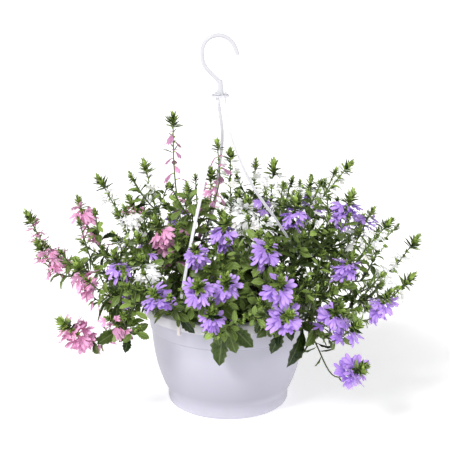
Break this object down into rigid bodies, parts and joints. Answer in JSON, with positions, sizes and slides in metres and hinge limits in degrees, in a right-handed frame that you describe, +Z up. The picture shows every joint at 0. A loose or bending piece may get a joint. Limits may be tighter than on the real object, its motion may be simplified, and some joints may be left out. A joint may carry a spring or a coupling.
{
  "type": "potted fan flower",
  "caption": "White plastic hanging pot on a three-strap hanger with a hook, filled with pink, white and purple fan flowers.",
  "frame": {"origin": "centre of the pot's flat underside", "axes": "+Z up along the pot's axis, +X to the right as the picture sees it, +Y away from its camera"},
  "size_m": [0.6267, 0.4726, 0.5791],
  "materials": {
    "pot_plastic": "satin",
    "potting_soil": "matte",
    "hanger_plastic": "satin",
    "foliage": "satin",
    "petals_purple": "matte",
    "petals_pink": "matte",
    "petals_white": "matte"
  },
  "bodies": {
    "root": {"pot": "pot_plastic", "potting_soil": "potting_soil", "hanger_hook": "hanger_plastic", "hanger_strap_1": "hanger_plastic", "hanger_strap_2": "hanger_plastic", "hanger_strap_3": "hanger_plastic", "spray_left_far": "foliage", "spray_left_front": "foliage", "spray_left_low": "foliage", "spray_tall": "foliage", "spray_centre_left": "foliage", "spray_white_left": "foliage", "spray_white_centre": "foliage", "spray_white_back": "foliage", "spray_white_right": "foliage", "spray_right_far": "foliage", "spray_front_left": "foliage", "spray_front": "foliage", "spray_centre": "foliage", "spray_front_right": "foliage", "spray_upper_right": "foliage", "spray_right": "foliage", "spray_low_right": "foliage", "spray_back_left": "foliage", "spray_back_centre": "foliage", "spray_back_right": "foliage", "petals_01": "petals_purple", "petals_02": "petals_purple", "petals_03": "petals_purple", "petals_04": "petals_purple", "petals_05": "petals_purple", "petals_06": "petals_purple", "petals_07": "petals_purple", "petals_08": "petals_purple", "petals_09": "petals_purple", "petals_10": "petals_purple", "petals_11": "petals_purple", "petals_12": "petals_purple", "petals_13": "petals_purple", "petals_14": "petals_purple", "petals_15": "petals_purple", "petals_16": "petals_purple", "petals_17": "petals_purple", "petals_18": "petals_purple", "petals_19": "petals_purple", "petals_20": "petals_pink", "petals_21": "petals_pink", "petals_22": "petals_pink", "petals_23": "petals_pink", "petals_24": "petals_pink", "petals_25": "petals_pink", "petals_26": "petals_white", "petals_27": "petals_white", "petals_28": "petals_white", "petals_29": "petals_white", "petals_30": "petals_pink", "petals_31": "petals_purple", "petals_32": "petals_white", "petals_33": "petals_purple", "petals_34": "petals_purple"}
  },
  "joints": []
}
